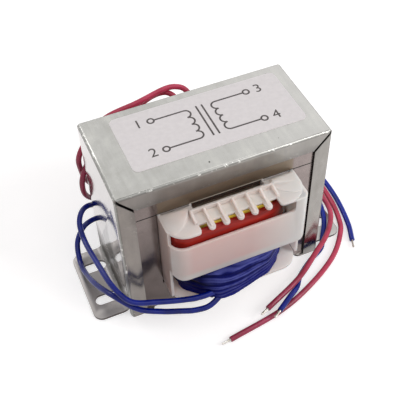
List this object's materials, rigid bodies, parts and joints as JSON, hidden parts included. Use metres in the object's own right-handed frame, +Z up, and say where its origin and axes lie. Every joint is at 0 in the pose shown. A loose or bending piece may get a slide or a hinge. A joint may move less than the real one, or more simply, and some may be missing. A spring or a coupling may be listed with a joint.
{
  "type": "channel-mount step-down transformer",
  "caption": "Laminated-core mains step-down transformer in a folded steel channel frame with slotted feet, split bobbin with comb covers and flying leads.",
  "frame": {"origin": "on the mounting plane under the feet, midway between the four foot slots", "axes": "+X along the feet to the right, +Y to the rear (the side the red leads leave), +Z up from the mounting plane"},
  "size_m": [0.1266, 0.0989, 0.0738],
  "materials": {
    "galvanised_sheet": "galvanised, faint spangle",
    "label_film": "matt label film",
    "silicon_steel": "varnished lamination edges and faces",
    "natural_nylon": "moulded, milky translucent",
    "enamelled_copper": "enamelled wire",
    "yellow_tape": "polyester tape",
    "red_tape": "polyester tape",
    "blue_tape": "polyester tape",
    "red_pvc": "satin PVC",
    "blue_pvc": "satin PVC",
    "tinned_copper": "tinned strands"
  },
  "bodies": {
    "root": {"channel_frame": "galvanised_sheet", "label": "label_film", "e_laminations": "silicon_steel", "i_laminations": "silicon_steel", "bobbin": "natural_nylon", "cover_front": "natural_nylon", "cover_rear": "natural_nylon", "primary_winding": "enamelled_copper", "primary_barrier_tape": "yellow_tape", "primary_outer_tape": "red_tape", "secondary_winding": "enamelled_copper", "secondary_outer_tape": "blue_tape", "lead_red_long": "red_pvc", "lead_red_short": "red_pvc", "lead_blue_short": "blue_pvc", "lead_blue_long": "blue_pvc", "tip_red_long": "tinned_copper", "tip_red_short": "tinned_copper", "tip_blue_short": "tinned_copper", "tip_blue_long": "tinned_copper"}
  },
  "joints": []
}
